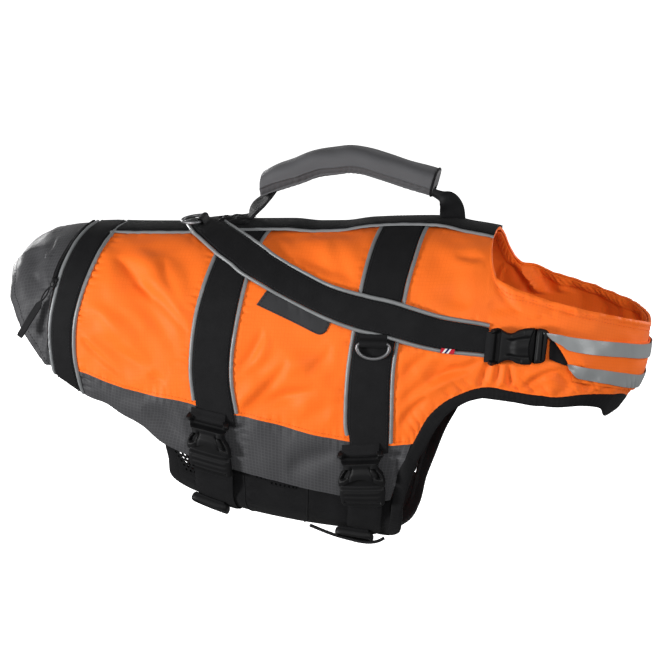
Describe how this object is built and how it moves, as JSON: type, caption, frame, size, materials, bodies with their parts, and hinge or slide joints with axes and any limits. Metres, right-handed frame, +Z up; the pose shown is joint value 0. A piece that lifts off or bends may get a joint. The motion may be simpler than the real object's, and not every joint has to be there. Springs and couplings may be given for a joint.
{
  "type": "dog life jacket, worn form with no wearer",
  "caption": "Hollow dog life jacket in orange and grey cloth, with a padded carry handle, webbing straps with side-release buckles, D-rings and a belly panel.",
  "frame": {"origin": "inner face of the jacket at the spine seam, where it rests on the wearer's back, midway between the handle's feet", "axes": "+X along the wearer's back towards the head, +Y towards the wearer's left side, +Z up, away from the back"},
  "size_m": [0.6508, 0.2314, 0.3964],
  "materials": {
    "orange_cloth": "smooth closely woven nylon, low sheen",
    "grey_ripstop": "ripstop weave, low sheen",
    "black_webbing": "matt woven webbing and tape",
    "reflective_trim": "satin grey reflective cloth",
    "black_plastic": "moulded, satin",
    "dark_chrome": "polished, dark",
    "black_spacer_mesh": "matt spacer mesh",
    "grey_wrap_cloth": "smooth padded cloth",
    "black_elastic": "braided elastic cord",
    "flag_tab_cloth": "woven tape"
  },
  "bodies": {
    "jacket": {"back_strip": "black_webbing", "back_strip_piping_front": "reflective_trim", "back_strip_piping_rear": "reflective_trim", "belly_belt_front": "black_webbing", "belly_belt_rear": "black_webbing", "belly_buckle_front_plug_left": "black_plastic", "belly_buckle_front_plug_right": "black_plastic", "belly_buckle_front_socket_left": "black_plastic", "belly_buckle_front_socket_right": "black_plastic", "belly_buckle_rear_plug_left": "black_plastic", "belly_buckle_rear_plug_right": "black_plastic", "belly_buckle_rear_socket_left": "black_plastic", "belly_buckle_rear_socket_right": "black_plastic", "belly_panel": "black_spacer_mesh", "collar_band": "orange_cloth", "collar_binding": "black_webbing", "elastic_cord": "black_elastic", "flag_tab": "flag_tab_cloth", "flank_left": "grey_ripstop", "flank_right": "grey_ripstop", "girth_strap_front": "black_webbing", "girth_strap_front_piping_front": "reflective_trim", "girth_strap_front_piping_rear": "reflective_trim", "girth_strap_rear": "black_webbing", "girth_strap_rear_piping_front": "reflective_trim", "girth_strap_rear_piping_rear": "reflective_trim", "handle_webbing": "black_webbing", "handle_wrap": "grey_wrap_cloth", "label_patch_left": "black_webbing", "label_patch_right": "black_webbing", "leg_binding": "black_webbing", "neck_buckle_plug_left": "black_plastic", "neck_buckle_plug_right": "black_plastic", "neck_buckle_socket_left": "black_plastic", "neck_buckle_socket_right": "black_plastic", "neck_casing": "orange_cloth", "neck_webbing_left": "black_webbing", "neck_webbing_right": "black_webbing", "rear_band": "black_webbing", "rear_band_piping_front": "reflective_trim", "rear_band_piping_rear": "reflective_trim", "reflective_tape_lower": "reflective_trim", "reflective_tape_upper": "reflective_trim", "ring_keeper_leash": "black_webbing", "ring_keeper_side_left": "black_webbing", "ring_keeper_side_right": "black_webbing", "rump_panel": "grey_ripstop", "shoulder_strap": "black_webbing", "shoulder_strap_piping_front": "reflective_trim", "shoulder_strap_piping_rear": "reflective_trim", "side_left": "orange_cloth", "side_right": "orange_cloth", "tri_glide_front": "black_plastic", "tri_glide_rear": "black_plastic", "zip_slider": "dark_chrome", "zip_tape": "black_webbing"},
    "leash_ring": {"ring_leash": "dark_chrome"},
    "side_ring_right": {"ring_side_right": "dark_chrome"},
    "side_ring_left": {"ring_side_left": "dark_chrome"},
    "zip_pull_tab": {"zip_pull": "black_webbing"}
  },
  "joints": [
    {"name": "leash_ring_swing", "type": "hinge", "parent": "jacket", "child": "leash_ring", "pos_m": [-0.14668, -0.01742, 0.00989], "axis": [0.0299, 0.9935, 0.1102], "range_deg": [0, 150]},
    {"name": "side_ring_right_swing", "type": "hinge", "parent": "jacket", "child": "side_ring_right", "pos_m": [0.0403, -0.11168, -0.09744], "axis": [-0.9989, -0.0457, 0.0052], "range_deg": [0, 130]},
    {"name": "side_ring_left_swing", "type": "hinge", "parent": "jacket", "child": "side_ring_left", "pos_m": [0.0403, 0.11168, -0.09744], "axis": [0.9989, -0.0457, -0.0052], "range_deg": [0, 130]},
    {"name": "zip_pull_swing", "type": "hinge", "parent": "jacket", "child": "zip_pull_tab", "pos_m": [-0.28921, -0.08486, -0.05246], "axis": [-0.8152, 0.3766, 0.44], "range_deg": [0, 100]}
  ]
}
